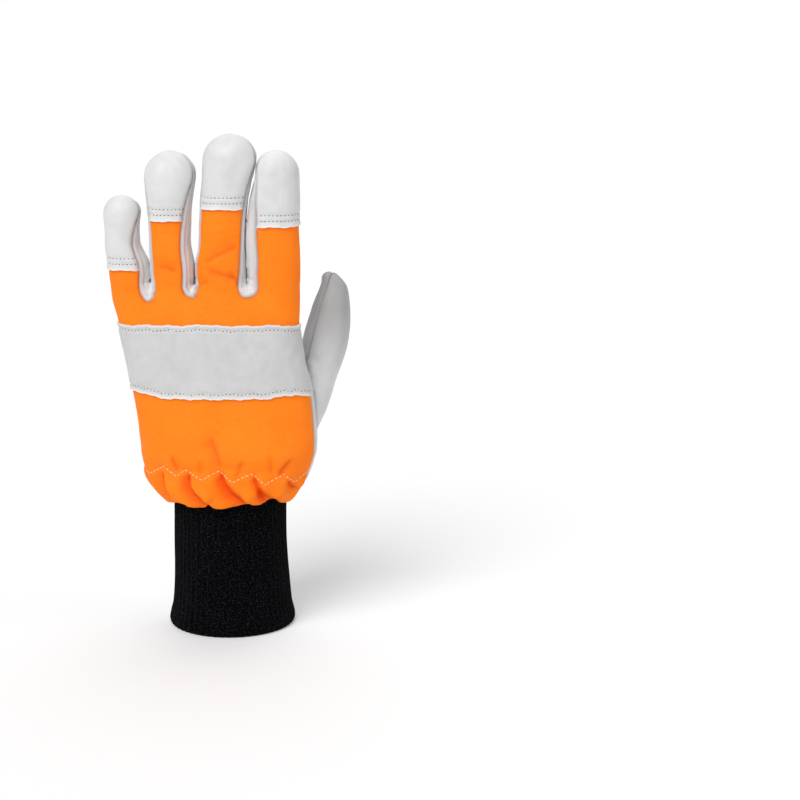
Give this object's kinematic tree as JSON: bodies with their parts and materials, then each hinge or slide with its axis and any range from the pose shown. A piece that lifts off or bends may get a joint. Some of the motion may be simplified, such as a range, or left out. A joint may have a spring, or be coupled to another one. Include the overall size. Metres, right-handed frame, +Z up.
{
  "type": "chainsaw work glove",
  "caption": "Left-hand chainsaw work glove with an orange cloth back, white leather palm, thumb, fingertips and knuckle band, a gathered elastic wrist and a black ribbed knit cuff.",
  "frame": {"origin": "middle of the bounding box's footprint, on the surface that the knitted cuff stands on", "axes": "+Z up from the cuff to the fingertips, +X towards the thumb, +Y towards the palm, so the back of the hand faces -Y"},
  "size_m": [0.1494, 0.0854, 0.3058],
  "materials": {
    "white_leather": "soft off-white grain leather",
    "orange_cloth": "bright orange woven cloth, smooth and slightly sheened",
    "black_knit": "matt black ribbed knit"
  },
  "bodies": {
    "root": {"knit_cuff": "black_knit", "back_panel": "orange_cloth", "knuckle_band": "white_leather", "palm_panel": "white_leather", "thumb_back": "white_leather", "thumb_palm": "white_leather", "cap_index": "white_leather", "cap_middle": "white_leather", "cap_ring": "white_leather", "cap_little": "white_leather", "side_strip_index_middle": "white_leather", "side_strip_middle_ring": "white_leather", "side_strip_ring_little": "white_leather"}
  },
  "joints": []
}
